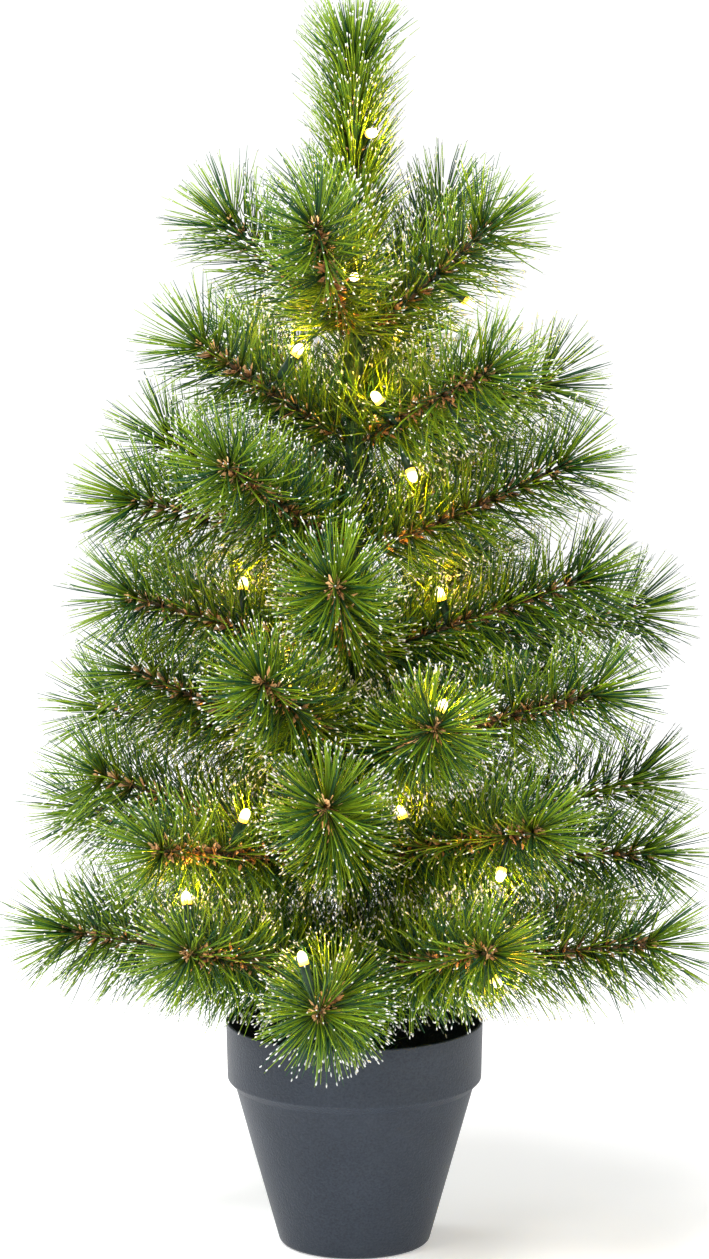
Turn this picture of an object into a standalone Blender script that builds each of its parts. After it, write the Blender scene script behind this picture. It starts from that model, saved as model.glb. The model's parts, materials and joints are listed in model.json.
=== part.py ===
"""A lit artificial pine for a table top, standing in a plastic pot.

Each branch is a stiff wire that is bound into the trunk's wrap and bends where it leaves it. The wire and the
packed foot of its needles are one slim solid, because the loose needles are too soft to carry anything.
The origin is the middle of the pot's base, +Z runs up the trunk and -Y is the front.
"""

import math
from string import ascii_lowercase

import bmesh
import bpy
from mathutils import Euler, Matrix, Vector

# Sizes are in metres and angles in degrees.
GAP = 0.0003  # between two pieces that touch

# Pot
POT_HEIGHT = 0.1655
RIM_RADIUS = 0.0935
BAND_HEIGHT = 0.0425
BAND_FOOT_RADIUS = 0.0925
BAND_LEDGE_DROP = 0.0060  # height of the sloping face under the band
NECK_RADIUS = 0.0868
BASE_RADIUS = 0.0545
POT_WALL = 0.0022
POT_FLOOR = 0.0030
LIP_ROUNDING = 0.0009
BAND_ROUNDING = 0.0022
BASE_ROUNDING = 0.0045

# Weight cast into the pot, and the trunk that stands in it
BALLAST_DEPTH = 0.0590
ROD_RADIUS = 0.0035
ROD_FOOT_DEPTH = 0.0500  # how far the rod goes down into the weight
TRUNK_RADIUS = 0.0065  # outside of the wrap
ROD_TOP_ABOVE_RIM = 0.5250
ROD_BARE_TOP = 0.0020  # rod left showing above the wrap

# Branches: a wire with its needles' feet packed round it
WIRE_ROOT_RADIUS = 0.0015
CORE_RADIUS = 0.0075  # thickest place of the packed needles
CORE_END_RADIUS = 0.0035
END_TUFT = 0.0280  # needles that reach on past the wire's end
LEADER_WIRE = 0.1760

# Each tier's height above the rim, and its branches: azimuth (0 is +X, -90 the front), lift, wire length.
TIERS = (
    (0.500, ((-106, 44, 0.130), (-21, 41, 0.126), (46, 44, 0.125), (103, 42, 0.130), (165, 43, 0.120))),
    (0.425, ((-150, 33, 0.143), (-44, 26, 0.140), (16, 15, 0.145), (75, 30, 0.135), (128, 28, 0.135))),
    (0.345, ((-158, 16, 0.170), (-127, 29, 0.165), (-18, 25, 0.168), (50, 24, 0.165), (102, 22, 0.165),
             (154, 26, 0.165))),
    (0.270, ((-152, 18, 0.183), (-95, 28, 0.165), (-15, 21, 0.176), (16, 6, 0.209), (60, 16, 0.185),
             (108, 14, 0.185), (144, 16, 0.175))),
    (0.195, ((-157, 25, 0.180), (-112, 27, 0.190), (-72, 17, 0.190), (-31, 19, 0.205), (42, 14, 0.185),
             (80, 12, 0.195), (122, 14, 0.195), (172, 10, 0.183))),
    (0.120, ((-160, 22, 0.203), (-130, 11, 0.213), (-96, 23, 0.200), (-50, 15, 0.200), (-14, 4, 0.213),
             (17, 12, 0.218), (57, 8, 0.200), (108, 8, 0.205), (166, 8, 0.200))),
    (0.040, ((-163, 11, 0.217), (-123, 14, 0.215), (-97, 4, 0.200), (-62, 15, 0.205), (-25, 10, 0.232),
             (33, 6, 0.212), (72, 5, 0.205), (122, 5, 0.205), (153, 4, 0.205))),
)

# Battery box: two cells side by side, with the switch in a solid block at its -X end
CELL_RADIUS = 0.00725
CELL_LENGTH = 0.0505
CELL_NUB_RADIUS = 0.0026
CELL_NUB_LENGTH = 0.0012
CELL_SPACING = 0.0005  # between the cells, and from a cell to the bay
BAY_END_ROOM = 0.0012  # at each end of a cell, for its contact
BOX_WALL = 0.0018
SWITCH_BLOCK = 0.0110
BOX_FROM_TRUNK = 0.0060
BOX_MIDDLE_X = -0.0060
COVER_THICKNESS = 0.0016
COVER_FLANGE = 0.0012
COVER_SKIRT = 0.0045  # how far the cover's sides reach down
COVER_RAIL = 0.0007  # ridge inside each side, which slides in a groove of the box
RAIL_HEIGHT = 0.0012
THUMB_RADIUS = 0.0060
THUMB_DEPTH = 0.0007
SWITCH_SLOT = (0.0034, 0.0086, 0.0024)  # along X, along Y, depth
SWITCH_KNOB = (0.0026, 0.0046, 0.0040)
SWITCH_REST_AT_END = 0.0004  # knob's room at the slot's "on" end, where it stands at rest

# Lead of the light string: from the switch block, round the box's corner and up the back of the trunk
LEAD_RADIUS = 0.0008
LEAD_POINTS = 78
LEAD_LEVEL = 0.0052  # above the weight
LEAD_STRAIGHT = 0.0040  # first run, square to the box
# Along the weight, as X, Y and the rise above the first run.
LEAD_TO_TRUNK = ((-0.0485, 0.0245, 0.0), (-0.0490, 0.0160, 0.0), (-0.0430, 0.0098, 0.0005),
                 (-0.0320, 0.0074, 0.0016), (-0.0205, 0.0062, 0.0048), (-0.0120, 0.0064, 0.0110))
# On the trunk, height above the rim and azimuth: past each tier it lies between two branches.
LEAD_ON_TRUNK = ((-0.075, 136), (-0.058, 112), (-0.030, 96), (0.040, 94), (0.120, 82), (0.195, 101), (0.270, 84),
                 (0.345, 76), (0.425, 101), (0.500, 74), (0.518, 74))

TURNED_STEPS = 72
ROUND_STEPS = 24
CORE_STEPS = 10

NECK_Z = POT_HEIGHT - BAND_HEIGHT - BAND_LEDGE_DROP
BAND_FOOT_Z = POT_HEIGHT - BAND_HEIGHT
BALLAST_FOOT = POT_FLOOR + GAP
BALLAST_TOP = BALLAST_FOOT + BALLAST_DEPTH
ROD_TOP = POT_HEIGHT + ROD_TOP_ABOVE_RIM
WRAP_TOP = ROD_TOP - ROD_BARE_TOP
BEND_RADIUS = TRUNK_RADIUS + GAP + WIRE_ROOT_RADIUS  # where each branch bends, from the trunk's axis
BOX_FRONT = TRUNK_RADIUS + BOX_FROM_TRUNK
BAY_WIDTH = 4 * CELL_RADIUS + 3 * CELL_SPACING
BAY_LENGTH = CELL_LENGTH + 2 * BAY_END_ROOM
BAY_DEPTH = 2 * CELL_RADIUS + CELL_SPACING
BOX_WIDTH = BAY_WIDTH + 2 * BOX_WALL
BOX_LENGTH = BAY_LENGTH + 2 * BOX_WALL + SWITCH_BLOCK
BOX_FOOT = BALLAST_TOP + GAP
BOX_TOP = BOX_FOOT + BOX_WALL + BAY_DEPTH
BOX_START = BOX_MIDDLE_X - BOX_LENGTH / 2
BAY_START = BOX_START + SWITCH_BLOCK + BOX_WALL
BOX_MIDDLE_Y = BOX_FRONT + BOX_WIDTH / 2


def start_clean():
    for item in list(bpy.data.objects):
        bpy.data.objects.remove(item)


def finish(name, colour, roughness, metallic=0.0):
    material = bpy.data.materials.new(name)
    material.use_nodes = True
    shader = material.node_tree.nodes["Principled BSDF"]
    shader.inputs["Base Color"].default_value = (*colour, 1.0)
    shader.inputs["Roughness"].default_value = roughness
    shader.inputs["Metallic"].default_value = metallic
    return material


def add(name, data, material=None):
    item = bpy.data.objects.new(name, data)
    bpy.context.scene.collection.objects.link(item)
    if material:
        data.materials.append(material)
    return item


def add_mesh(name, bm, material, smooth_angle=35):
    bmesh.ops.recalc_face_normals(bm, faces=bm.faces)
    mesh = bpy.data.meshes.new(name)
    bm.to_mesh(mesh)
    bm.free()
    mesh.shade_smooth()
    mesh.set_sharp_from_angle(angle=math.radians(smooth_angle))
    return add(name, mesh, material)


def rounded(before, corner, after, radius, steps=4):
    """Points of an arc that rounds a corner of an outline."""
    before, corner, after = (Vector(p) for p in (before, corner, after))
    one, two = (before - corner).normalized(), (after - corner).normalized()
    half = one.angle(two) / 2
    middle = corner + (one + two).normalized() * radius / math.sin(half)
    start = corner + one * radius / math.tan(half) - middle
    end = corner + two * radius / math.tan(half) - middle
    first = math.atan2(start.y, start.x)
    sweep = (math.atan2(end.y, end.x) - first + math.pi) % math.tau - math.pi
    angles = [first + sweep * step / steps for step in range(steps + 1)]
    return [(middle.x + radius * math.cos(angle), middle.y + radius * math.sin(angle)) for angle in angles]


def turned(name, outline, material, steps=ROUND_STEPS):
    """A solid of revolution about Z. The outline is (radius, height) points, from the axis back to the axis or,
    where it misses the axis, a closed loop."""
    bm = bmesh.new()
    points = [bm.verts.new((radius, 0, height)) for radius, height in outline]
    open_ended = outline[0][0] == 0 and outline[-1][0] == 0
    joins = list(zip(points, points[1:])) + ([] if open_ended else [(points[-1], points[0])])
    edges = [bm.edges.new(join) for join in joins]
    bmesh.ops.spin(bm, geom=points + edges, cent=(0, 0, 0), axis=(0, 0, 1), angle=math.tau, steps=steps)
    bmesh.ops.remove_doubles(bm, verts=bm.verts, dist=1e-5)
    return add_mesh(name, bm, material)


def block(name, low, high, material=None):
    bm = bmesh.new()
    low, high = Vector(low), Vector(high)
    place = Matrix.Translation((low + high) / 2) @ Matrix.Diagonal((*(high - low), 1))
    bmesh.ops.create_cube(bm, size=1, matrix=place)
    return add_mesh(name, bm, material)


def prism_along_x(name, section, start, length, material):
    """A (y, z) section drawn out along X."""
    bm = bmesh.new()
    face = bm.faces.new([bm.verts.new((start, y, z)) for y, z in section])
    drawn = bmesh.ops.extrude_face_region(bm, geom=[face])["geom"]
    moved = [item for item in drawn if isinstance(item, bmesh.types.BMVert)]
    bmesh.ops.translate(bm, verts=moved, vec=(length, 0, 0))
    return add_mesh(name, bm, material)


def cut(item, cutter):
    cutter.hide_render = True
    cutter.display_type = "WIRE"
    boolean = item.modifiers.new("cut_" + cutter.name, "BOOLEAN")
    boolean.object = cutter
    boolean.operation = "DIFFERENCE"
    boolean.solver = "EXACT"


def pot_inside(height):
    """The pot's inner radius below its band."""
    share = height / NECK_Z
    return BASE_RADIUS + (NECK_RADIUS - BASE_RADIUS) * share - POT_WALL


def make_pot(material):
    base, neck = (BASE_RADIUS, 0), (NECK_RADIUS, NECK_Z)
    foot, rim = (BAND_FOOT_RADIUS, BAND_FOOT_Z), (RIM_RADIUS, POT_HEIGHT)
    lip = (RIM_RADIUS - POT_WALL, POT_HEIGHT)
    inner_foot = (BAND_FOOT_RADIUS - POT_WALL, BAND_FOOT_Z)
    outline = [(0, 0)]
    outline += rounded((0, 0), base, neck, BASE_ROUNDING, 6)
    outline += [neck]
    outline += rounded(neck, foot, rim, BAND_ROUNDING)
    outline += rounded(foot, rim, lip, LIP_ROUNDING)
    outline += rounded(rim, lip, inner_foot, LIP_ROUNDING)
    outline += [inner_foot, (pot_inside(NECK_Z), NECK_Z), (pot_inside(POT_FLOOR), POT_FLOOR), (0, POT_FLOOR)]
    return turned("pot", outline, material, TURNED_STEPS)


def make_ballast(material):
    hole = ROD_RADIUS + GAP
    hole_foot = BALLAST_TOP - ROD_FOOT_DEPTH - GAP
    outline = [
        (0, BALLAST_FOOT),
        (pot_inside(BALLAST_FOOT) - GAP, BALLAST_FOOT),
        (pot_inside(BALLAST_TOP) - GAP, BALLAST_TOP),
        (hole, BALLAST_TOP),
        (hole, hole_foot),
        (0, hole_foot),
    ]
    return turned("ballast", outline, material, TURNED_STEPS)


def make_trunk(rod_material, wrap_material):
    foot = BALLAST_TOP - ROD_FOOT_DEPTH
    rod = [(0, foot), (ROD_RADIUS, foot), (ROD_RADIUS, ROD_TOP), (0, ROD_TOP)]
    turned("trunk_rod", rod, rod_material)
    inside = ROD_RADIUS + GAP
    wrap_foot = BALLAST_TOP + GAP
    wrap = [(inside, wrap_foot), (TRUNK_RADIUS, wrap_foot), (TRUNK_RADIUS, WRAP_TOP), (inside, WRAP_TOP)]
    turned("trunk_wrap", wrap, wrap_material)


def needle_core(name, wire_length, material):
    """A branch's slim solid, from its bend along its own +Z."""
    length = wire_length + END_TUFT
    outline = [
        (0, 0),
        (WIRE_ROOT_RADIUS, 0),
        (0.8 * CORE_RADIUS, 0.35 * length),
        (CORE_RADIUS, 0.6 * length),
        (CORE_END_RADIUS, length),
        (0, length),
    ]
    return turned(name, outline, material, CORE_STEPS)


def make_branches(material):
    for number, (above_rim, branches) in enumerate(TIERS, start=1):
        tier = add(f"tier_{number}", None)
        tier.location.z = POT_HEIGHT + above_rim
        for letter, (azimuth, lift, wire_length) in zip(ascii_lowercase, branches):
            branch = needle_core(f"branch_{number}_{letter}", wire_length, material)
            branch.parent = tier
            branch.rotation_euler = (0, math.radians(90 - lift), math.radians(azimuth))
            outwards = Euler((0, 0, math.radians(azimuth))).to_matrix() @ Vector((BEND_RADIUS, 0, 0))
            branch.location = outwards
    leader = needle_core("leader", LEADER_WIRE, material)
    leader.location.z = ROD_TOP + GAP + WIRE_ROOT_RADIUS


def make_battery_box(material, cover_material, cell_material, switch_material):
    back = BOX_FRONT + BOX_WIDTH
    groove_top = BOX_TOP - (COVER_SKIRT - RAIL_HEIGHT - 2 * GAP)
    groove_foot = groove_top - RAIL_HEIGHT - 2 * GAP
    groove = COVER_RAIL
    section = [
        (BOX_FRONT, BOX_FOOT), (back, BOX_FOOT),
        (back, groove_foot), (back - groove, groove_foot), (back - groove, groove_top), (back, groove_top),
        (back, BOX_TOP), (BOX_FRONT, BOX_TOP),
        (BOX_FRONT, groove_top), (BOX_FRONT + groove, groove_top),
        (BOX_FRONT + groove, groove_foot), (BOX_FRONT, groove_foot),
    ]
    box = prism_along_x("battery_box", section, BOX_START, BOX_LENGTH, material)
    over = 0.002  # a cutter's reach past the face it opens
    bay_low = (BAY_START, BOX_FRONT + BOX_WALL, BOX_FOOT + BOX_WALL)
    bay_high = (BAY_START + BAY_LENGTH, back - BOX_WALL, BOX_TOP + over)
    cut(box, block("bay", bay_low, bay_high))
    slot_x, slot_y, slot_depth = SWITCH_SLOT
    slot_low = Vector((BOX_START + (SWITCH_BLOCK - slot_x) / 2, BOX_MIDDLE_Y - slot_y / 2, BOX_TOP - slot_depth))
    slot_high = slot_low + Vector((slot_x, slot_y, slot_depth + over))
    cut(box, block("switch_slot", slot_low, slot_high))

    knob_low = slot_low + Vector(((slot_x - SWITCH_KNOB[0]) / 2, SWITCH_REST_AT_END, GAP))
    block("switch_slider", knob_low, knob_low + Vector(SWITCH_KNOB), switch_material)

    for number in (1, 2):
        cell = turned(f"battery_cell_{number}", cell_outline(), cell_material)
        turn = 90 if number == 1 else -90
        cell.rotation_euler.y = math.radians(turn)
        end = BAY_END_ROOM if number == 1 else BAY_END_ROOM + CELL_LENGTH
        across = CELL_SPACING + CELL_RADIUS + (number - 1) * (2 * CELL_RADIUS + CELL_SPACING)
        cell.location = (BAY_START + end, bay_low[1] + across, bay_low[2] + CELL_RADIUS + CELL_SPACING / 2)

    make_cover(cover_material, back, groove_foot)


def cell_outline():
    body = CELL_LENGTH - CELL_NUB_LENGTH
    return [
        (0, 0),
        (CELL_RADIUS, 0),
        (CELL_RADIUS, body),
        (CELL_NUB_RADIUS, body),
        (CELL_NUB_RADIUS, CELL_LENGTH),
        (0, CELL_LENGTH),
    ]


def make_cover(material, back, groove_foot):
    """The cover's skirts clasp the box, and a rail inside each one runs in the box's groove."""
    inner, outer = BOX_FRONT - GAP, BOX_FRONT - GAP - COVER_FLANGE
    far_inner, far_outer = back + GAP, back + GAP + COVER_FLANGE
    under = BOX_TOP + GAP
    top = under + COVER_THICKNESS
    skirt_foot = under - COVER_SKIRT
    rail_foot = groove_foot + GAP
    rail_top = rail_foot + RAIL_HEIGHT
    section = [
        (outer, skirt_foot), (inner, skirt_foot),
        (inner, rail_foot), (inner + COVER_RAIL, rail_foot), (inner + COVER_RAIL, rail_top), (inner, rail_top),
        (inner, under), (far_inner, under),
        (far_inner, rail_top), (far_inner - COVER_RAIL, rail_top),
        (far_inner - COVER_RAIL, rail_foot), (far_inner, rail_foot),
        (far_inner, skirt_foot), (far_outer, skirt_foot), (far_outer, top), (outer, top),
    ]
    start = BAY_START - BOX_WALL
    length = BAY_LENGTH + 2 * BOX_WALL
    cover = prism_along_x("battery_cover", section, start, length, material)
    thumb = [(0, 0), (THUMB_RADIUS, 0), (THUMB_RADIUS, 2 * THUMB_DEPTH), (0, 2 * THUMB_DEPTH)]
    dent = turned("thumb_dent", thumb, material)
    dent.location = (start + length - 2 * THUMB_RADIUS, BOX_MIDDLE_Y, top - THUMB_DEPTH)
    cut(cover, dent)


def smooth_through(points, count):
    """Evenly numbered points of the Catmull-Rom curve through the given ones."""
    ends = [2 * points[0] - points[1], *points, 2 * points[-1] - points[-2]]
    found = []
    for step in range(count):
        along = step / (count - 1) * (len(points) - 1)
        n = min(int(along), len(points) - 2)
        t = along - n
        a, b, c, d = ends[n : n + 4]
        found.append(
            0.5 * (2 * b + (c - a) * t + (2 * a - 5 * b + 4 * c - d) * t**2 + (3 * b - a - 3 * c + d) * t**3)
        )
    return found


def make_lead(material):
    """The route is smoothed as radius, azimuth and height, which keeps the lead on the trunk's round."""
    level = BALLAST_TOP + LEAD_LEVEL
    on_trunk = TRUNK_RADIUS + GAP + LEAD_RADIUS
    exit_x = BOX_START - GAP
    flat = [(exit_x, BOX_MIDDLE_Y, 0), (exit_x - LEAD_STRAIGHT, BOX_MIDDLE_Y, 0), *LEAD_TO_TRUNK]
    points = [Vector((math.hypot(x, y), math.atan2(y, x), level + rise)) for x, y, rise in flat]
    points += [
        Vector((on_trunk, math.radians(azimuth), POT_HEIGHT + above_rim)) for above_rim, azimuth in LEAD_ON_TRUNK
    ]
    curve = bpy.data.curves.new("light_lead", "CURVE")
    curve.dimensions = "3D"
    curve.bevel_depth = LEAD_RADIUS
    curve.bevel_resolution = 2
    curve.use_fill_caps = True
    spline = curve.splines.new("POLY")
    spline.points.add(LEAD_POINTS - 1)
    for place, (radius, turn, height) in zip(spline.points, smooth_through(points, LEAD_POINTS)):
        radius = max(radius, on_trunk)
        place.co = (radius * math.cos(turn), radius * math.sin(turn), height, 1)
    return add("light_lead", curve, material)


start_clean()
make_pot(finish("anthracite_plastic", (0.095, 0.105, 0.125), 0.45))
make_ballast(finish("cement", (0.42, 0.41, 0.39), 0.9))
make_trunk(finish("steel", (0.55, 0.55, 0.56), 0.35, 1.0), finish("trunk_tape", (0.035, 0.07, 0.025), 0.6))
make_branches(finish("pine_needles", (0.16, 0.27, 0.03), 0.5))
make_lead(finish("lead_insulation", (0.02, 0.06, 0.03), 0.4))
make_battery_box(
    finish("box_plastic", (0.02, 0.022, 0.024), 0.5),
    finish("cover_plastic", (0.025, 0.027, 0.03), 0.5),
    finish("cell_jacket", (0.3, 0.3, 0.32), 0.3, 0.6),
    finish("switch_plastic", (0.6, 0.6, 0.58), 0.4),
)
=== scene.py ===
"""A table-top artificial pine in a plastic pot, with a battery-powered string of lamps.
This is the looks of every piece."""

import json
import math

import bpy
import numpy as np
from mathutils import Matrix, Vector


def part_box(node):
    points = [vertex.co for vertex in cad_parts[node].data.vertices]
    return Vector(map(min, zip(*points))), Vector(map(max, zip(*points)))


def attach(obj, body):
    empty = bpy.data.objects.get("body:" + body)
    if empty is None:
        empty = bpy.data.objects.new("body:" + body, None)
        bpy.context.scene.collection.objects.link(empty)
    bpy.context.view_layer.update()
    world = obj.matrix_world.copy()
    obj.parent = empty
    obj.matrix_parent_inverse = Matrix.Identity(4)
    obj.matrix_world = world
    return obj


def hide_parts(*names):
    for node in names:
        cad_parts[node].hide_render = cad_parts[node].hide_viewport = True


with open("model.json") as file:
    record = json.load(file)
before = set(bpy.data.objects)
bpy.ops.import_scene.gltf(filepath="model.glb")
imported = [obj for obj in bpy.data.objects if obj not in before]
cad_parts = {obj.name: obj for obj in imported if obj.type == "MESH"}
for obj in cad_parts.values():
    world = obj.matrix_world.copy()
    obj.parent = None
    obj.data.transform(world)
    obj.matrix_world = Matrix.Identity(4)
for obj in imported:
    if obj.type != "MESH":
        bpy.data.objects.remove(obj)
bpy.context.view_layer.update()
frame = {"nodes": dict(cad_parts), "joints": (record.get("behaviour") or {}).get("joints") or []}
NODES, JOINTS = frame["nodes"], {j["name"]: j for j in frame["joints"]}

# Sizes are in metres, and leans in degrees off the wire

# Wires
END_TUFT = 0.028  # how far a branch's solid goes on past its wire
END_RING = 0.0008  # points this near the solid's far end give its middle
BARE_END = 0.007  # the last whorl stands this far short of the frame's wire length
FIRST_WHORL = 0.006
WHORL_PITCH = 0.0112
WHORL_SCATTER = 0.0008
SWAY, MOST_SWAY = 0.0016, 0.003  # the wire's bow to either side
STRAND_RADIUS = 0.00085
STRAND_TWIST = 0.011  # length of wire in one turn of its strands
STRAND_STEP = 0.0022

# Needles
FASCICLES = 16
TIP_FASCICLES = 28
FASCICLE_DEPTH = 0.003  # how far back along the wire the fascicles of one whorl spread
FASCICLE_SCATTER = 0.14  # radians round the wire
NEEDLES_A_FASCICLE = 3
NEEDLE_SCATTER = (0.11, 0.13)  # radians of lean, and round the wire
SIDE_LEAN = (38, 68)
LEAN_STEP, LEAN_WHORLS = 3, 3  # the lean grows by this at each of so many whorls behind the end
END_LEAN = 66
LEADER_LEAN = (24, 52)
LEADER_FULLNESS = 1.7  # the leader's tufts, against a branch's
NEEDLE_LENGTH = (0.047, 0.057)
NEEDLE_WIDTH = 0.0012
NEEDLE_THICKNESS = 0.00085
NEEDLE_TAPER = [(0.0, 0.8), (0.33, 1.0), (0.7, 0.85), (1.0, 0.35)]
NEEDLE_FOOT = 0.0009  # off the middle of the wire
NEEDLE_BEND = (0.7, 0.6)  # mean and spread of the bend forward, in tenths of the needle's length
NEEDLE_CURL = 0.05  # spread of the bend sideways, as a share of the length
TINTS = 24  # steps of needle colour in one branch
PALE_SHARE, LEADER_PALE_SHARE = 0.66, 0.84
PALE_TINTS, DARK_TINTS = (0.52, 1.0), (0.0, 0.42)
PARTING = 0.0062  # needles keep this far from a lamp and from the way out of it
PARTING_REACH = 0.022
PARTING_START = 0.002
PARTING_RISE = 0.35  # the way out rises by this share of the lamp's distance from the trunk

# Frost and bracts
FROST_LENGTH = (0.0018, 0.0042)
FROST_WIDTH = 0.00135
FROST_OVERLAP = 0.82  # share of a grain that sits on its needle
FROST_TAPER = [(0.0, 0.35), (0.6, 1.0), (1.0, 0.45)]
FROSTED_SHARE = 0.7
BRACT_LENGTH = (0.0070, 0.0105)
BRACT_WIDTH = 0.0046
BRACT_THICKNESS = 0.0005
BRACT_TAPER = [(0.0, 0.5), (0.3, 1.0), (0.65, 0.75), (1.0, 0.12)]
BRACT_CURL = 0.35
BRACT_CURL_RANGE = (-0.6, 1.2)
# Bracts at the end and at the other whorls: count, foot off the wire, lean, share of the length, tints
END_BRACTS = (20, 0.0007, (8, 48), 0.72, (0.35, 1.0))
SIDE_BRACTS = (8, 0.0017, (34, 74), 1.0, (0.0, 0.85))

# Pot
BAND_HEIGHT, BAND_LEDGE, POT_WALL, POT_FLOOR = 0.0425, 0.0060, 0.0022, 0.0030
BAND_FOOT_RADIUS, NECK_RADIUS, BASE_RADIUS = 0.0925, 0.0868, 0.0545
BASE_FLAT = 0.010  # the plain base stops this far inside its edge
BASE_EASE, THROAT_EASE, BAND_EASE, LIP_EASE, FLOOR_EASE = 0.0045, 0.0008, 0.0022, 0.0009, 0.003
POT_STEPS = 180

# Trunk
TAPE_SIDES, TAPE_STEP, TAPE_PITCH = 36, 0.0014, 0.014
TAPE_SUNK, TAPE_RISE = 0.0006, 0.0008
TAPE_SLOPE, TAPE_LAP = 0.85, 0.15  # shares of a turn that rise and that drop under the next turn
LEADS_START = 0.215  # where the lamps' leads start up the trunk
LEADS_END = 0.02  # and how far short of its top they end
LEADS_PITCH = 0.046
LEADS_GAP, LEADS_SLACK = 0.0016, 0.0022  # off the tape at least, and at most so much more
LEADS_WANDER = 0.003  # up and down
LEADS_STEPS = 16  # to a turn
LEAD_RADIUS = 0.0008
TRUNK_RING_PITCH, TRUNK_RING_START, TRUNK_RING_NEEDLES = 0.0095, 0.012, 22
TRUNK_RING_SCATTER = 0.002
TRUNK_NEEDLE_FOOT = 0.0062
TRUNK_NEEDLE_LENGTH = (0.034, 0.050)
TRUNK_NEEDLE_LEAN = (30, 75)
TRUNK_NEEDLE_TAPER = [(0.0, 0.8), (0.5, 1.0), (1.0, 0.35)]

# Lamps: distance back from the lamp's middle and radius for the socket, distance on and radius for the lens
SOCKET_PROFILE = [
    (0.0235, 0.0012), (0.023, 0.0019), (0.0215, 0.0021), (0.020, 0.0028),
    (0.0125, 0.0031), (0.0045, 0.0033), (0.0042, 0.0040), (0.0034, 0.0040),
]
LENS_PROFILE = [
    (0.0, 0.0034), (0.0012, 0.0035), (0.0050, 0.0035), (0.0072, 0.0032),
    (0.0088, 0.0024), (0.0097, 0.0013), (0.0101, 0.0003),
]
LENS_SUNK = 0.0036  # how far the lens starts behind the lamp's middle
LAMP_SIDES = 16
LEAD_FOOT = 0.0225  # where the leads leave the socket
LEAD_TAIL = 0.004  # straight on from the socket
LEAD_OFF_WIRE = 0.0031
LEAD_STEP, LEAD_TURN = 0.012, 1.1  # the leads turn by so many radians for so much wire
LEAD_STOP = 0.05  # share of the wire where they go in among the trunk's needles
GLOW_PLACE, GLOW_SIZE, GLOW_POWER, GLOW_COLOUR = 0.0105, 0.003, 0.15, (1.0, 0.54, 0.006)

# The branch, the share of its wire, the height over it and the offset across it in millimetres
LAMPS = [
    ("leader", 0.70, 24, 12),
    ("leader", 0.10, 24, 0),
    ("branch_1_b", 0.60, -28, -12),
    ("branch_2_a", 0.55, 32, -12),
    ("branch_2_b", 0.30, 18, 14),
    ("branch_2_b", 0.26, -38, 0),
    ("branch_4_a", 0.50, 28, 12),
    ("branch_4_c", 0.40, 22, 0),
    ("branch_5_b", 0.60, 20, 12),
    ("branch_5_c", 0.88, 16, -12),
    ("branch_6_b", 0.65, 28, -12),
    ("branch_6_d", 0.35, 28, 12),
    ("branch_6_d", 0.85, -24, 12),
    ("branch_7_b", 0.97, 36, 12),
    ("branch_7_c", 0.97, 36, 12),
    ("branch_7_d", 0.90, -20, -12),
    ("branch_2_d", 0.70, 26, 14),
    ("branch_4_f", 0.70, 26, 0),
    ("branch_5_g", 0.70, 26, 0),
    ("branch_6_h", 0.70, 26, 0),
]

# Floor, light and camera
FLOOR_REACH = 45.0
FLOOR_GLOW = (0.33, 0.74)  # near the tree and far from it
WORLD_LIGHT = 0.38
# Each square light: its place, what it points at, its side and its power
LIGHTS = {
    "key": ((-1.3, -1.9, 2.8), (0, 0, 0.55), 1.0, 94),
    "top": ((-0.2, -0.5, 2.5), (0, 0, 0.6), 0.9, 32),
    "fill": ((1.8, -2.0, 1.2), (0, 0, 0.4), 1.2, 5),
    "rim_left": ((-1.8, 1.2, 1.6), (0, 0, 0.5), 0.8, 26),
    "rim_right": ((1.9, -0.75, 0.9), (0, 0, 0.3), 0.35, 4),
}
CAMERA_PLACE, CAMERA_DIP = (0, -3.6, 1.06), 9.57  # the dip is in degrees below level
CAMERA_LENS, CAMERA_SENSOR = 145.26, 36
CAMERA_CLIP = (0.1, 50)


# Shader building


class Signal:
    """A shader socket that takes part in arithmetic."""

    def __init__(self, recipe, socket):
        self.recipe, self.socket = recipe, socket

    def _with(self, operation, first, second):
        return self.recipe.node("Math", {"operation": operation}, [first, second])

    def __add__(self, other):
        return self._with("ADD", self, other)

    def __sub__(self, other):
        return self._with("SUBTRACT", self, other)

    def __rsub__(self, other):
        return self._with("SUBTRACT", other, self)

    def __mul__(self, other):
        return self._with("MULTIPLY", self, other)

    def __pow__(self, other):
        return self._with("POWER", self, other)

    __radd__, __rmul__ = __add__, __mul__


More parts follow.
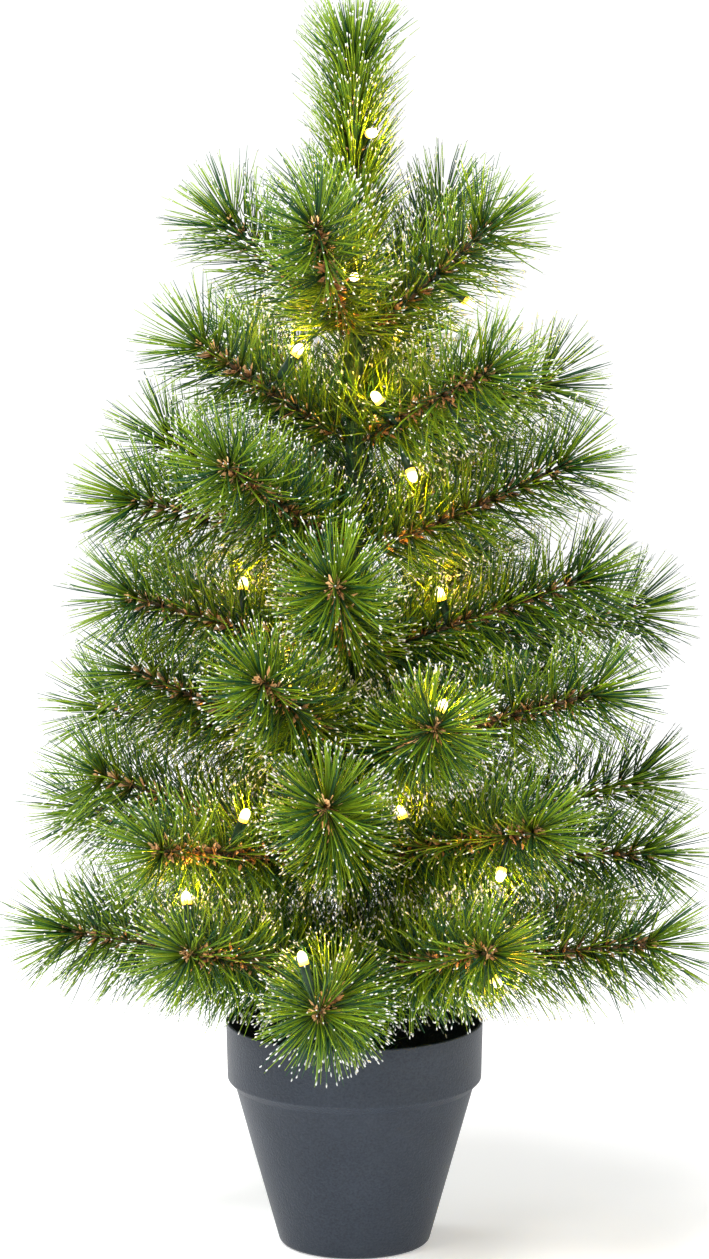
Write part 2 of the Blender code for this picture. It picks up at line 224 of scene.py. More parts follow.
class Recipe:
    """One material's nodes."""

    def __init__(self, name, roughness=0.5, **finish):
        self.material = bpy.data.materials.new(name)
        self.material.use_nodes = True
        self.tree = self.material.node_tree
        self.shader = self.tree.nodes["Principled BSDF"]
        for socket, value in {"Roughness": roughness, **finish}.items():
            self.put(self.shader.inputs[socket.replace("_", " ")], value)

    def put(self, socket, value):
        if isinstance(value, Signal):
            self.tree.links.new(value.socket, socket)
        else:
            socket.default_value = value

    def node(self, kind, settings=None, inputs=(), output=0):
        """A node of this kind with its settings made first, then its sockets, by place or by name."""
        node = self.tree.nodes.new("ShaderNode" + kind)
        for setting, value in (settings or {}).items():
            if setting == "stops":
                ramp = node.color_ramp.elements
                while len(ramp) < len(value):
                    ramp.new(0.5)
                for stop, (place, colour) in zip(ramp, value):
                    stop.position, stop.color = place, (*colour, 1.0)
            else:
                setattr(node, setting, value)
        pairs = inputs.items() if isinstance(inputs, dict) else enumerate(inputs)
        for socket, value in pairs:
            self.put(node.inputs[socket], value)
        return Signal(self, node.outputs[output])

    def mark(self, name):
        """A number that the mesh holds at each of its points."""
        return self.node("Attribute", {"attribute_name": name}, output="Fac")

    def place(self, stretch=(1, 1, 1)):
        spot = self.node("TexCoord", output="Object")
        return self.node("VectorMath", {"operation": "MULTIPLY"}, [spot, stretch])

    def noise(self, scale, detail=3.0, roughness=0.5, stretch=(1, 1, 1)):
        sockets = {"Vector": self.place(stretch), "Scale": scale, "Detail": detail, "Roughness": roughness}
        return self.node("TexNoise", inputs=sockets)

    def ramp(self, share, *stops):
        return self.node("ValToRGB", {"stops": stops}, [share])

    def blend(self, share, first, second):
        return self.node("Mix", {"data_type": "RGBA"}, {"Factor": share, 6: first, 7: second}, output=2)

    def colour(self, signal):
        self.put(self.shader.inputs["Base Color"], signal)

    def rough(self, signal):
        self.put(self.shader.inputs["Roughness"], signal)

    def glow(self, signal):
        self.put(self.shader.inputs["Emission Color"], signal)

    def relief(self, height, depth):
        """Bumps of this depth in metres."""
        bump = self.node("Bump", inputs={"Height": height, "Distance": depth, "Strength": 1.0})
        self.put(self.shader.inputs["Normal"], bump)


def needle_pvc():
    mix = Recipe("needle_pvc", 0.42, Specular_IOR_Level=0.35)
    tint, along = mix.mark("tint"), mix.mark("along")
    # The needles' own pale and dark greens, each blended from a darker colour at the foot to a lighter one
    # at the tip; the darkening towards the foot is painted shade, where the needles crowd round the wire.
    root = mix.ramp(
        tint,
        (0.0, (0.004, 0.030, 0.015)),
        (0.38, (0.008, 0.048, 0.012)),
        (0.52, (0.036, 0.100, 0.004)),
        (1.0, (0.108, 0.182, 0.003)),
    )
    tip = mix.ramp(
        tint,
        (0.0, (0.012, 0.078, 0.036)),
        (0.38, (0.022, 0.112, 0.022)),
        (0.52, (0.115, 0.258, 0.008)),
        (1.0, (0.350, 0.505, 0.010)),
    )
    mix.colour(mix.blend(along**1.15, root, tip))
    return mix.material


def frost_grains():
    mix = Recipe("frost_grains", 0.45, Specular_IOR_Level=0.6)
    foot, middle, tip = (0.62, 0.70, 0.60), (0.86, 0.88, 0.86), (0.93, 0.94, 0.95)
    mix.colour(mix.ramp(mix.mark("along"), (0.0, foot), (0.35, middle), (1.0, tip)))
    return mix.material


def bract_paper():
    mix = Recipe("bract_paper", 0.7)
    tint, along = mix.mark("tint"), mix.mark("along")
    foot = mix.ramp(tint, (0.0, (0.36, 0.125, 0.030)), (1.0, (0.60, 0.260, 0.070)))
    edge = mix.ramp(tint, (0.0, (0.72, 0.330, 0.095)), (1.0, (0.90, 0.580, 0.250)))
    mix.colour(mix.blend(along, foot, edge))
    return mix.material


def wound_wire():
    mix = Recipe("wound_wire", 0.6)
    green, brown, rust = (0.020, 0.034, 0.010), (0.085, 0.050, 0.018), (0.150, 0.070, 0.026)
    mix.colour(mix.ramp(mix.noise(260, 4), (0.35, green), (0.50, brown), (0.66, rust)))
    return mix.material


def trunk_tape():
    mix = Recipe("trunk_tape", 0.5)
    crease = mix.noise(420, 5, 0.6, (1, 1, 0.4))
    mix.colour(mix.ramp(crease, (0.3, (0.006, 0.028, 0.012)), (0.7, (0.020, 0.075, 0.030))))
    mix.rough(0.38 + 0.3 * crease)
    mix.relief(crease, 0.0003)
    return mix.material


def pot_plastic():
    mix = Recipe("pot_plastic", 0.5, Specular_IOR_Level=0.22)
    grain = mix.noise(620, 2, 0.6)
    haze = mix.noise(14, 3, 0.5)
    mottle = 0.65 * grain + 0.35 * haze
    mix.colour(mix.ramp(mottle, (0.35, (0.020, 0.027, 0.040)), (0.65, (0.040, 0.051, 0.071))))
    mix.rough(0.34 + 0.14 * grain)
    mix.relief(grain, 0.0006)
    return mix.material


def cement():
    mix = Recipe("cement", 0.9)
    sand, lumps = mix.noise(900, 4, 0.7), mix.noise(60, 4, 0.6)
    mix.colour(mix.ramp(0.5 * sand + 0.5 * lumps, (0.3, (0.16, 0.155, 0.145)), (0.7, (0.36, 0.35, 0.33))))
    mix.relief(sand + 2 * lumps, 0.0012)
    return mix.material


def bright_rod():
    mix = Recipe("bright_rod", 0.3, Metallic=1.0)
    drawn = mix.noise(900, 2, 0.5, (1, 1, 0.02))
    mix.colour(mix.ramp(drawn, (0.3, (0.36, 0.36, 0.37)), (0.7, (0.52, 0.52, 0.53))))
    mix.rough(0.24 + 0.2 * drawn)
    return mix.material


def lead_insulation():
    mix = Recipe("lead_insulation", 0.4)
    wear = mix.noise(500, 2)
    mix.colour(mix.ramp(wear, (0.3, (0.004, 0.020, 0.009)), (0.7, (0.010, 0.040, 0.018))))
    mix.rough(0.34 + 0.14 * wear)
    return mix.material


def moulded(name, dark, light, rough=0.45):
    """Plain moulded plastic, a little uneven in colour and gloss."""
    mix = Recipe(name, rough)
    grain = mix.noise(1200, 3, 0.6)
    mix.colour(mix.ramp(grain, (0.3, dark), (0.7, light)))
    mix.rough(rough - 0.07 + 0.14 * grain)
    mix.relief(grain, 0.00015)
    return mix.material


def cell_jacket():
    mix = Recipe("cell_jacket", 0.28, Coat_Weight=0.5)
    film = mix.noise(120, 2)
    mix.colour(mix.ramp(film, (0.3, (0.020, 0.075, 0.16)), (0.7, (0.028, 0.095, 0.20))))
    return mix.material


def lamp_lens():
    """A lit lens: amber at its foot, near white from a third of the way up."""
    mix = Recipe("lamp_lens", 0.15, Emission_Strength=3.5)
    along = mix.mark("along")
    mix.colour(mix.ramp(along, (0.0, (0.95, 0.75, 0.35)), (1.0, (1.0, 0.93, 0.70))))
    amber, gold, pale, white = (1.0, 0.45, 0.006), (1.0, 0.62, 0.015), (1.0, 0.94, 0.6), (1.0, 0.97, 0.78)
    mix.glow(mix.ramp(along, (0.0, amber), (0.22, gold), (0.34, pale), (1.0, white)))
    return mix.material


# Mesh building


def unit(v):
    return v / np.maximum(np.linalg.norm(v, axis=-1, keepdims=True), 1e-12)


def round_angles(count):
    """Angles of this many even steps round a circle."""
    return 2 * np.pi * np.arange(count) / count


def set_out(name, data):
    thing = bpy.data.objects.new(name, data)
    bpy.context.scene.collection.objects.link(thing)
    return thing


def mesh_piece(name, points, faces, finish, body, marks=None, unrolled=None):
    """One piece from arrays. faces is a list of arrays of corner numbers, one row for each face;
    marks are numbers at each point; unrolled is each corner's place on the flat map."""
    corners = np.concatenate([f.ravel() for f in faces]).astype(np.int32)
    sizes = np.concatenate([np.full(len(f), f.shape[1], np.int32) for f in faces])
    starts = np.concatenate([[0], np.cumsum(sizes)[:-1]]).astype(np.int32)
    mesh = bpy.data.meshes.new(name)
    mesh.vertices.add(len(points))
    mesh.vertices.foreach_set("co", np.asarray(points, np.float32).ravel())
    mesh.loops.add(len(corners))
    mesh.loops.foreach_set("vertex_index", corners)
    mesh.polygons.add(len(sizes))
    mesh.polygons.foreach_set("loop_start", starts)
    mesh.polygons.foreach_set("use_smooth", np.full(len(sizes), True))
    for mark, values in (marks or {}).items():
        held = mesh.attributes.new(mark, "FLOAT", "POINT")
        held.data.foreach_set("value", np.asarray(values, np.float32).ravel())
    if unrolled is not None:
        flat = mesh.uv_layers.new(name="OFBake", do_init=False)
        flat.uv.foreach_set("vector", np.asarray(unrolled, np.float32).ravel())
    mesh.update(calc_edges=True)
    mesh.materials.append(finish)
    piece = set_out(name, mesh)
    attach(piece, body)
    return piece


def ringed_faces(rows, sides, count=1):
    """The faces of this many closed tubes: their walls, then their two sets of end faces."""
    tube, step, side = np.meshgrid(np.arange(count), np.arange(rows - 1), np.arange(sides), indexing="ij")
    here = (tube * rows + step) * sides
    following = (side + 1) % sides
    walls = np.stack([here + side, here + following, here + sides + following, here + sides + side], -1)
    first = np.arange(count)[:, None] * rows * sides
    ring = np.arange(sides)[None]
    return [walls.reshape(-1, 4), first + ring[:, ::-1], first + (rows - 1) * sides + ring]


def blades(base, start, turn, length, width, thickness, profile, sides, face):
    """Many tapered blades at once. Each grows from its base along start and bends by turn;
    profile is rows of (share of the length, share of the width).
    Returns points, faces and each point's share of the length."""
    share, swell = np.array(profile).T
    row = share[None, :, None]
    long = length[:, None, None]
    centre = base[:, None] + long * (start[:, None] * row + turn[:, None] * row**2)
    along = unit(start[:, None] + 2 * turn[:, None] * row)
    across = unit(np.cross(along, face[:, None]))
    over = np.cross(across, along)
    angle = round_angles(sides)
    across = across[:, :, None] * (np.cos(angle) * width / 2)[None, None, :, None]
    over = over[:, :, None] * (np.sin(angle) * thickness / 2)[None, None, :, None]
    points = centre[:, :, None] + (across + over) * swell[None, :, None, None]
    shares = np.broadcast_to(share[None, :, None], points.shape[:3])
    return points.reshape(-1, 3), ringed_faces(len(profile), sides, len(base)), shares.reshape(-1)


def unrolled_blades(faces, shares, steps, rows, sides):
    """The flat map of blades: one column for each step of tint, and up it the share of the length.
    Blades of one tint lie on each other there, as they have the same colours."""
    corner = np.concatenate([f.ravel() for f in faces])
    side = corner % sides
    step = steps[corner // (rows * sides)]
    walls = faces[0].size
    wall_side = side[:walls].reshape(-1, 4)
    turned = (wall_side == sides - 1).any(1)[:, None] & (wall_side == 0)
    wrap = np.zeros(len(corner))
    wrap[:walls] = turned.ravel() * sides
    u = (step + 0.1 + 0.8 * (side + wrap) / sides) / TINTS
    # The end faces are spread a little, so that they cover some of the map too
    lift = np.zeros(len(corner))
    lift[walls:] = 0.02 * (side[walls:] % 2)
    v = 0.02 + 0.94 * shares[corner] + lift * np.where(shares[corner] > 0.5, 1, -1) * 0.9
    return np.stack([u, v], -1)


def bladed_piece(name, finish, body, slot, step, tinted=True, **shape):
    """One piece of many blades, with their shape as blades takes it. step is each blade's step of tint."""
    points, faces, shares = blades(**shape)
    rows, sides = len(shape["profile"]), shape["sides"]
    marks = {"tint": np.repeat((step + 0.5) / TINTS, rows * sides)} if tinted else {}
    marks["along"] = shares
    return mesh_piece(
        name, points, faces, finish, body, marks, unrolled_blades(faces, shares, step, rows, sides)
    )


def swept(path, radius, sides):
    """A closed tube along a path. radius is one number or one for each point."""
    path = np.asarray(path, float)
    radius = np.broadcast_to(radius, len(path))
    along = unit(np.gradient(path, axis=0))
    across = np.empty_like(path)
    side = np.cross(along[0], (0, 0, 1) if abs(along[0][2]) < 0.9 else (1, 0, 0))
    for i, direction in enumerate(along):
        side = unit(side - direction * (side @ direction))
        across[i] = side
    over = np.cross(along, across)
    angle = round_angles(sides)
    ring = across[:, None] * np.cos(angle)[None, :, None] + over[:, None] * np.sin(angle)[None, :, None]
    points = path[:, None] + ring * radius[:, None, None]
    return points.reshape(-1, 3), ringed_faces(len(path), sides)


def joined(parts):
    """Several sets of points and faces as one."""
    points, faces, start = [], [], 0
    for p, fs in parts:
        points.append(p)
        faces += [f + start for f in fs]
        start += len(p)
    return np.concatenate(points), faces


def smooth_line(through, steps):
    """A smooth line through these points, with this many steps to each stretch."""
    p = np.asarray(through, float)
    p = np.concatenate([[2 * p[0] - p[1]], p, [2 * p[-1] - p[-2]]])
    t = np.linspace(0, 1, steps, endpoint=False)[:, None]
    found = []
    for a, b, c, d in zip(p, p[1:], p[2:], p[3:]):
        square, cube = (2 * a - 5 * b + 4 * c - d) * t**2, (3 * b - a - 3 * c + d) * t**3
        found.append(0.5 * (2 * b + (c - a) * t + square + cube))
    return np.concatenate([*found, p[-2:-1]])


def lathe(profile, steps):
    """A closed turned shape: profile is (radius, height) from the axis round to the axis again."""
    profile = np.array(profile)
    inner = profile[1:-1]
    angle = round_angles(steps)
    spun = [inner[:, :1] * np.cos(angle), inner[:, :1] * np.sin(angle), np.repeat(inner[:, 1:], steps, 1)]
    poles = [[0, 0, profile[0][1]], [0, 0, profile[-1][1]]]
    points = np.concatenate([np.stack(spun, -1).reshape(-1, 3), poles])
    side, last_row = np.arange(steps), (len(inner) - 1) * steps
    following = (side + 1) % steps
    first_pole = np.full(steps, len(inner) * steps)
    first = np.stack([first_pole, following, side], -1)
    last = np.stack([first_pole + 1, last_row + side, last_row + following], -1)
    return points, [ringed_faces(len(inner), steps)[0], first, last]


# Branches


class Branch:
    """A branch as the frame has it: its bend, the line of its wire and three directions of its own."""

    def __init__(self, name):
        self.name = name
        joint = JOINTS[name + "_bend"]
        points = np.array([v.co for v in NODES[name].data.vertices])
        self.root = np.array(joint["pos_m"])
        reach = np.linalg.norm(points - self.root, axis=1)
        end = points[reach > reach.max() - END_RING].mean(0)
        self.along = unit(end - self.root)
        self.wire = np.linalg.norm(end - self.root) - END_TUFT - BARE_END
        self.up = unit(np.array([0, 0, 1.0]) - self.along * self.along[2])
        if name == "leader":
            self.up = np.array([0, -1.0, 0])
        self.across = np.cross(self.along, self.up)

    def spot(self, share, up=0.0, across=0.0):
        """A point at this share of the wire, off it by up and across."""
        up, across = np.broadcast_arrays(up, across)
        return (
            self.root
            + np.multiply.outer(np.asarray(share) * self.wire, self.along)
            + np.multiply.outer(np.asarray(up), self.up)
            + np.multiply.outer(np.asarray(across), self.across)
        )

    def bowed(self, share, sway):
        """A point on the wire, which bows by this sway in the middle."""
        bow = np.sin(np.pi * share)
        return self.spot(share, bow * sway[0], bow * sway[1])

    def off(self, angle):
        """The way off the wire at this angle round it."""
        return np.cos(angle)[:, None] * self.up + np.sin(angle)[:, None] * self.across


def lamp_head(branch, share, up, across):
    return branch.spot(share, up / 1000, across / 1000)


def lamp_places():
    """Each lamp's place and the way out from it, where the needles are parted."""
    found = []
    for name, *place in LAMPS:
        head = lamp_head(branches[name], *place)
        out = np.array([head[0], head[1], PARTING_RISE * np.linalg.norm(head[:2])])
        found.append((head, unit(out)))
    return found


def parted(base, start, turn, length):
    """Which needles pass clear of every lamp and of the way out from it."""
    clear = np.ones(len(base), bool)
    t = np.linspace(0.15, 1, 12)[None, :, None]
    line = base[:, None] + length[:, None, None] * (start[:, None] * t + turn[:, None] * t**2)
    for head, out in LAMP_PLACES:
        off = line - (head + out * PARTING_START)
        ahead = np.clip(off @ out, 0, PARTING_REACH)
        gap = np.linalg.norm(off - ahead[..., None] * out, axis=-1).min(1)
        clear &= gap > PARTING
    return clear


def clothe(branch, seed):
    """Needles, frost, bracts and wire for one branch."""
    rng = np.random.default_rng(seed)
    leader = branch.name == "leader"
    fullness, pale_share = (LEADER_FULLNESS, LEADER_PALE_SHARE) if leader else (1, PALE_SHARE)
    sway = rng.normal(0, SWAY, 2).clip(-MOST_SWAY, MOST_SWAY)
    whorls = int((branch.wire - FIRST_WHORL) / WHORL_PITCH) + 1

    # Fascicles: their places along the wire, angles round it and leans off it, then each one's needles
    places, angles, leans = [], [], []
    for i in range(whorls):
        at = branch.wire - i * WHORL_PITCH + rng.normal(0, WHORL_SCATTER)
        tufts = int((FASCICLES if i else TIP_FASCICLES) * fullness)
        angle = rng.uniform(0, 2 * np.pi) + round_angles(tufts)
        angles.append(angle + rng.normal(0, FASCICLE_SCATTER, tufts))
        if i == 0:
            most = LEADER_LEAN[1] if leader else END_LEAN
            lean = np.degrees(np.arccos(rng.uniform(np.cos(np.radians(most)), 1, tufts)))
        else:
            more = min(i, LEAN_WHORLS) * LEAN_STEP
            least, most = LEADER_LEAN if leader else (SIDE_LEAN[0] + more, SIDE_LEAN[1] + more)
            lean = rng.uniform(least, most, tufts)
        places.append(np.full(tufts, min(at, branch.wire)) - rng.uniform(0, FASCICLE_DEPTH, tufts))
        leans.append(np.radians(lean))
    place, around, lean = (np.repeat(np.concatenate(x), NEEDLES_A_FASCICLE) for x in (places, angles, leans))
    lean = lean + rng.normal(0, NEEDLE_SCATTER[0], len(lean))
    around = around + rng.normal(0, NEEDLE_SCATTER[1], len(lean)) / np.maximum(np.sin(lean), 0.25)

    # Needles
    out = branch.off(around)
    base = branch.bowed(place / branch.wire, sway) + out * NEEDLE_FOOT
    start = np.cos(lean)[:, None] * branch.along + np.sin(lean)[:, None] * out
    side = unit(np.cross(start, out) + 1e-6)
    forward = branch.along - start * (start @ branch.along)[:, None]
    turn = 0.10 * rng.normal(*NEEDLE_BEND, len(lean))[:, None] * forward
    turn = turn + NEEDLE_CURL * rng.normal(0, 1, len(lean))[:, None] * side
    length = rng.uniform(*NEEDLE_LENGTH, len(lean))
    clear = parted(base, start, turn, length)
    base, start, turn, length, out = (x[clear] for x in (base, start, turn, length, out))
    count = len(base)
    pale = rng.random(count) < pale_share
    tint = np.where(pale, rng.uniform(*PALE_TINTS, count), rng.uniform(*DARK_TINTS, count))
    face = unit(out + rng.normal(0, 0.5, out.shape))
    needles = bladed_piece(
        branch.name + "_needles", finishes["needle"], branch.name, "pine_needles",
        np.minimum((tint * TINTS).astype(int), TINTS - 1),
        base=base, start=start, turn=turn, length=length, width=NEEDLE_WIDTH,
        thickness=NEEDLE_THICKNESS, profile=NEEDLE_TAPER, sides=3, face=face,
    )
    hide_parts(branch.name)

    # Frost on most of the needles' ends
    frosted = rng.random(count) < FROSTED_SHARE
    tips = base + length[:, None] * (start + turn)
    heading = unit(start + 2 * turn)
    grain = rng.uniform(*FROST_LENGTH, count)
    foot = tips - heading * (grain * FROST_OVERLAP)[:, None]
    bladed_piece(
        branch.name + "_frost", finishes["frost"], branch.name, "frost",
        rng.integers(0, TINTS, frosted.sum()), tinted=False,
        base=foot[frosted], start=heading[frosted], turn=np.zeros((frosted.sum(), 3)),
        length=grain[frosted], width=FROST_WIDTH, thickness=FROST_WIDTH, profile=FROST_TAPER,
        sides=3, face=face[frosted],
    )

    # Papery bracts at every whorl and a knot of them at the end
    spots, ways, bends, longs, tints = [], [], [], [], []
    for i in range(whorls):
        at = (branch.wire - i * WHORL_PITCH) / branch.wire
        count, gap, leans, size, shades = SIDE_BRACTS if i else END_BRACTS
        off = branch.off(rng.uniform(0, 2 * np.pi) + round_angles(count) + rng.normal(0, 0.25, count))
        lean = np.radians(rng.uniform(*leans, count))[:, None]
        spots.append(branch.bowed(np.full(count, at), sway) + off * gap)
        ways.append(np.cos(lean) * branch.along + np.sin(lean) * off)
        bends.append(BRACT_CURL * off * rng.uniform(*BRACT_CURL_RANGE, count)[:, None])
        longs.append(rng.uniform(*BRACT_LENGTH, count) * size)
        tints.append(rng.uniform(*shades, count))
    spots, ways, bends, longs, tints = map(np.concatenate, (spots, ways, bends, longs, tints))
    bladed_piece(
        branch.name + "_bracts", finishes["bract"], branch.name, "bract_paper",
        np.minimum((tints * TINTS).astype(int), TINTS - 1),
        base=spots, start=unit(ways), turn=bends, length=longs, width=BRACT_WIDTH,
        thickness=BRACT_THICKNESS, profile=BRACT_TAPER, sides=4, face=unit(ways + bends + 1e-3),
    )

    # Two strands twisted together, with the feet of the needles between them
    count = max(int(branch.wire / STRAND_STEP), 8)
    line = branch.bowed(np.linspace(0, 1, count), sway)
    twist = 2 * np.pi * np.arange(count) * (branch.wire / count) / STRAND_TWIST
    strands = (line + branch.off(twist + half) * STRAND_RADIUS * 0.85 for half in (0, np.pi))
    points, faces = joined(swept(strand, STRAND_RADIUS, 6) for strand in strands)
    mesh_piece(branch.name + "_wire", points, faces, finishes["wire"], branch.name)


finishes = {
    "needle": needle_pvc(),
    "frost": frost_grains(),
    "bract": bract_paper(),
    "wire": wound_wire(),
    "tape": trunk_tape(),
    "lead": lead_insulation(),
    "socket": moulded("lamp_socket", (0.006, 0.028, 0.014), (0.012, 0.046, 0.022), 0.4),
    "lens": lamp_lens(),
}
shoots = sorted(name for name in NODES if name.startswith("branch_") or name == "leader")
branches = {name: Branch(name) for name in shoots}
LAMP_PLACES = lamp_places()
for number, branch in enumerate(branches.values()):
    clothe(branch, 100 + number)


# Pot


def eased(before, corner, after, radius, steps=8):
    """Points of an arc that eases a corner of an outline."""
    before, corner, after = (np.array(p, float) for p in (before, corner, after))
    one, two = unit(before - corner), unit(after - corner)
    half = math.acos(one @ two) / 2
    middle = corner + unit(one + two) * radius / math.sin(half)
    start, end = (corner + way * radius / math.tan(half) - middle for way in (one, two))
    first = math.atan2(start[1], start[0])
    sweep = (math.atan2(end[1], end[0]) - first + math.pi) % math.tau - math.pi
    angles = [first + sweep * k / steps for k in range(steps + 1)]
    return [tuple(middle + radius * np.array([math.cos(angle), math.sin(angle)])) for angle in angles]


def straight(a, b, steps):
    return [tuple(np.array(a) + (np.array(b) - np.array(a)) * k / steps) for k in range(1, steps)]


def pot():
    """The pot as the frame has it, turned finer, with its lip rolled and its foot eased."""
    low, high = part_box("pot")
    rim_radius, top = (high.x - low.x) / 2, high.z
    band_foot = top - BAND_HEIGHT
    neck = band_foot - BAND_LEDGE
    inner = [BASE_RADIUS + (NECK_RADIUS - BASE_RADIUS) * z / neck - POT_WALL for z in (neck, POT_FLOOR)]
    base, throat = (BASE_RADIUS, 0), (NECK_RADIUS, neck)
    foot, rim = (BAND_FOOT_RADIUS, band_foot), (rim_radius, top)
    lip, inner_foot = (rim_radius - POT_WALL, top), (BAND_FOOT_RADIUS - POT_WALL, band_foot)
    inner_neck, inner_base, middle = (inner[0], neck), (inner[1], POT_FLOOR), (0, POT_FLOOR)
    outline = [(0, 0), (BASE_RADIUS - BASE_FLAT, 0), *eased((0, 0), base, throat, BASE_EASE)]
    outline += straight(outline[-1], throat, 6)
    outline += [*eased(base, throat, foot, THROAT_EASE, 4), *eased(throat, foot, rim, BAND_EASE)]
    outline += straight(outline[-1], rim, 4)
    outline += [*eased(foot, rim, lip, LIP_EASE, 5), *eased(rim, lip, inner_foot, LIP_EASE, 5), inner_foot]
    outline += [inner_neck, *eased(inner_neck, inner_base, middle, FLOOR_EASE), middle]
    points, faces = lathe(outline, POT_STEPS)
    piece = mesh_piece("pot_shell", points, faces, pot_plastic(), "stand")
    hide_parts("pot")


# Trunk


def tape():
    """The trunk's tape, wound up it in overlapping turns."""
    low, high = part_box("trunk_wrap")
    radius = (high.x - low.x) / 2
    height = np.linspace(low.z, high.z, int((high.z - low.z) / TAPE_STEP))
    angle = round_angles(TAPE_SIDES)
    turn = ((height[:, None] - low.z) / TAPE_PITCH + angle[None] / (2 * np.pi)) % 1
    rise = np.where(turn < TAPE_SLOPE, turn / TAPE_SLOPE, (1 - turn) / TAPE_LAP)
    ring = radius - TAPE_SUNK + TAPE_RISE * rise
    heights = np.repeat(height[:, None], TAPE_SIDES, 1)
    points = np.stack([ring * np.cos(angle), ring * np.sin(angle), heights], -1)
    faces = ringed_faces(len(height), TAPE_SIDES)
    piece = mesh_piece("trunk_tape", points.reshape(-1, 3), faces, finishes["tape"], "stand")
    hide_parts("trunk_wrap")


def climbing_leads():
    """The lamps' two leads, wound loosely up the trunk."""
    low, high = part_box("trunk_wrap")
    rng = np.random.default_rng(31)
    turns = (high.z - LEADS_END - LEADS_START) / LEADS_PITCH
    t = np.linspace(0, 1, int(turns * LEADS_STEPS))
    strands = []
    for half in (0.0, 0.5):
        angle = 2 * np.pi * (t * turns + half * 0.25)
        loose = np.abs(np.sin(np.pi * t * turns * 1.5 + half * 3))
        slack = (high.x - low.x) / 2 + LEADS_GAP + LEADS_SLACK * loose
        lift = LEADS_WANDER * np.interp(t, np.linspace(0, 1, 30), rng.normal(0, 1, 30))
        height = LEADS_START + t * (high.z - LEADS_END - LEADS_START) + lift
        path = np.stack([slack * np.cos(angle), slack * np.sin(angle), height], -1)
        strands.append(swept(path, LEAD_RADIUS, 6))
    points, faces = joined(strands)
    mesh_piece("climbing_leads", points, faces, finishes["lead"], "stand")


def trunk_needles():
    """Needles wound in with the trunk's tape."""
    rng = np.random.default_rng(55)
    low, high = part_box("trunk_wrap")
    heights = np.arange(low.z + TRUNK_RING_START, high.z, TRUNK_RING_PITCH)
    count = TRUNK_RING_NEEDLES * len(heights)
    height = np.repeat(heights, TRUNK_RING_NEEDLES) + rng.normal(0, TRUNK_RING_SCATTER, count)
    around = rng.uniform(0, 2 * np.pi, count)
    lean = np.radians(rng.uniform(*TRUNK_NEEDLE_LEAN, count))
    upright = np.array([0, 0, 1.0])
    out = np.stack([np.cos(around), np.sin(around), np.zeros(count)], -1)
    start = unit(out * np.sin(lean)[:, None] + np.cos(lean)[:, None] * upright)
    turn = NEEDLE_CURL * rng.normal(0, 1, (count, 3))
    # Steps of tint that leave out the palest ones and the two darkest, so the trunk's needles are darker on
    # the whole than a branch's: painted shade for the inside of the tree.
    step = rng.integers(2, int(TINTS * 0.85), count)
    bladed_piece(
        "trunk_needles", finishes["needle"], "stand", "pine_needles", step,
        base=out * TRUNK_NEEDLE_FOOT + height[:, None] * upright, start=start, turn=turn,
        length=rng.uniform(*TRUNK_NEEDLE_LENGTH, count), width=NEEDLE_WIDTH,
        thickness=NEEDLE_THICKNESS, profile=TRUNK_NEEDLE_TAPER, sides=3, face=out,
    )


pot()
tape()
climbing_leads()
trunk_needles()


# Lamps


def lamp(number, branch, share, up, across):
    """A lamp in its socket on a branch, with its two leads back to the trunk."""
    rng = np.random.default_rng(700 + number)
    head = lamp_head(branch, share, up, across)
    rise = unit(head - branch.spot(share) + np.array([0, 0, 0.004]))
    body = branch.name
    name = f"lamp_{number:02d}"
    back, radii = zip(*SOCKET_PROFILE)
    points, faces = swept([head - rise * d for d in back], radii, LAMP_SIDES)
    mesh_piece(name + "_socket", points, faces, finishes["socket"], body)
    on, radii = zip(*LENS_PROFILE)
    points, faces = swept([head - rise * LENS_SUNK + rise * d for d in on], radii, LAMP_SIDES)
    shares = np.repeat(np.linspace(0, 1, len(radii)), LAMP_SIDES)
    mesh_piece(name + "_lens", points, faces, finishes["lens"], body, {"along": shares})
    leads = []
    end = head - rise * LEAD_FOOT
    for half in (0.0, np.pi):
        stops = [end, end - rise * LEAD_TAIL]
        for k, s in enumerate(np.linspace(share, LEAD_STOP, max(int(share * branch.wire / LEAD_STEP), 3))):
            turn = half + k * LEAD_TURN + rng.uniform(-0.2, 0.2)
            stops.append(branch.spot(s, LEAD_OFF_WIRE * math.cos(turn), LEAD_OFF_WIRE * math.sin(turn)))
        leads.append(swept(smooth_line(stops, 5), LEAD_RADIUS, 6))
    points, faces = joined(leads)
    mesh_piece(name + "_leads", points, faces, finishes["lead"], body)
    glow = bpy.data.lights.new(name + "_glow", "POINT")
    glow.energy, glow.color, glow.shadow_soft_size = GLOW_POWER, GLOW_COLOUR, GLOW_SIZE
    light = set_out(name + "_glow", glow)
    light.location = Vector(head + rise * GLOW_PLACE)
    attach(light, body)


for number, (name, *place) in enumerate(LAMPS, 1):
    lamp(number, branches[name], *place)


# CAD pieces that keep their shape

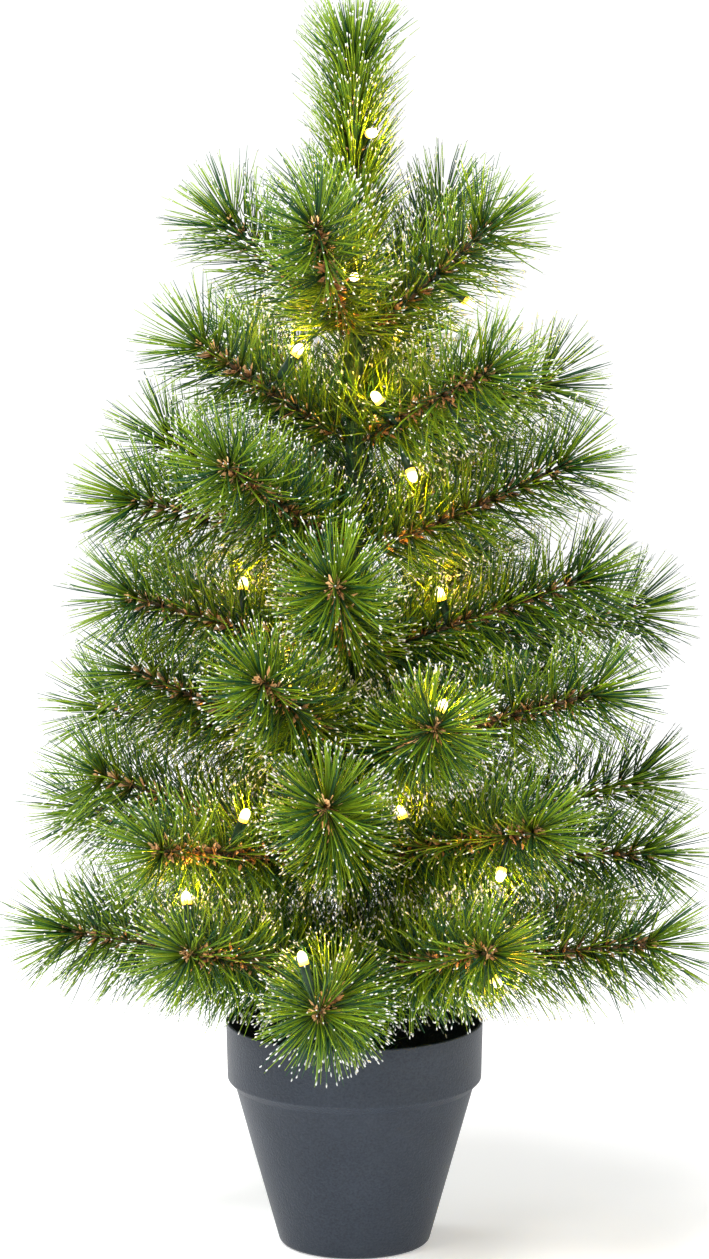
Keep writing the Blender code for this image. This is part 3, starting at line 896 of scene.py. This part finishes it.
KEPT = {
    "ballast": cement(),
    "trunk_rod": bright_rod(),
    "light_lead": finishes["lead"],
    "battery_box": moulded("battery_box", (0.012, 0.034, 0.018), (0.018, 0.046, 0.026)),
    "battery_cover": moulded("battery_cover", (0.012, 0.034, 0.018), (0.020, 0.050, 0.028)),
    "switch_slider": moulded("switch_slider", (0.30, 0.30, 0.29), (0.38, 0.38, 0.37)),
    "battery_cell_1": cell_jacket(),
}
KEPT["battery_cell_2"] = KEPT["battery_cell_1"]
for node, finish in KEPT.items():
    for face_slot in NODES[node].material_slots:
        face_slot.material = finish


# Floor, light and camera


def white_floor():
    """A plain white floor. It glows a little, and more so away from the tree, where the lights are faint."""
    mix = Recipe("paper_white", 0.9, Emission_Strength=1.0)
    mix.colour(mix.ramp(mix.noise(3, 2), (0.0, (0.93, 0.93, 0.93)), (1.0, (0.95, 0.95, 0.95))))
    reach = mix.node("VectorMath", {"operation": "LENGTH"}, [mix.place()], output="Value")
    near, far = FLOOR_GLOW
    mix.glow(mix.ramp(reach * 0.1, (0.10, (near, near, near)), (0.55, (far, far, far))))
    mesh = bpy.data.meshes.new("floor")
    mesh.from_pydata([(x, y, 0.0) for x, y in ((-1, -1), (1, -1), (1, 1), (-1, 1))], [], [(0, 1, 2, 3)])
    mesh.transform(Matrix.Scale(FLOOR_REACH, 4))
    mesh.materials.append(mix.material)
    set_out("floor", mesh)


def square_light(name, spot, aim, size, power):
    data = bpy.data.lights.new(name, "AREA")
    data.shape, data.size, data.energy = "SQUARE", size, power
    light = set_out(name, data)
    light.location = spot
    light.rotation_euler = (Vector(aim) - Vector(spot)).to_track_quat("-Z", "Y").to_euler()


def studio():
    world = bpy.data.worlds.new("studio")
    world.use_nodes = True
    world.node_tree.nodes["Background"].inputs["Color"].default_value = (1, 1, 1, 1)
    world.node_tree.nodes["Background"].inputs["Strength"].default_value = WORLD_LIGHT
    scene = bpy.context.scene
    scene.world = world
    scene.view_settings.view_transform = "Standard"
    for name, setting in LIGHTS.items():
        square_light(name, *setting)
    data = bpy.data.cameras.new("camera")
    data.lens, data.sensor_width = CAMERA_LENS, CAMERA_SENSOR
    data.clip_start, data.clip_end = CAMERA_CLIP
    camera = set_out("camera", data)
    camera.location = CAMERA_PLACE
    camera.rotation_euler = (math.radians(90 - CAMERA_DIP), 0, 0)
    scene.camera = camera


white_floor()
studio()
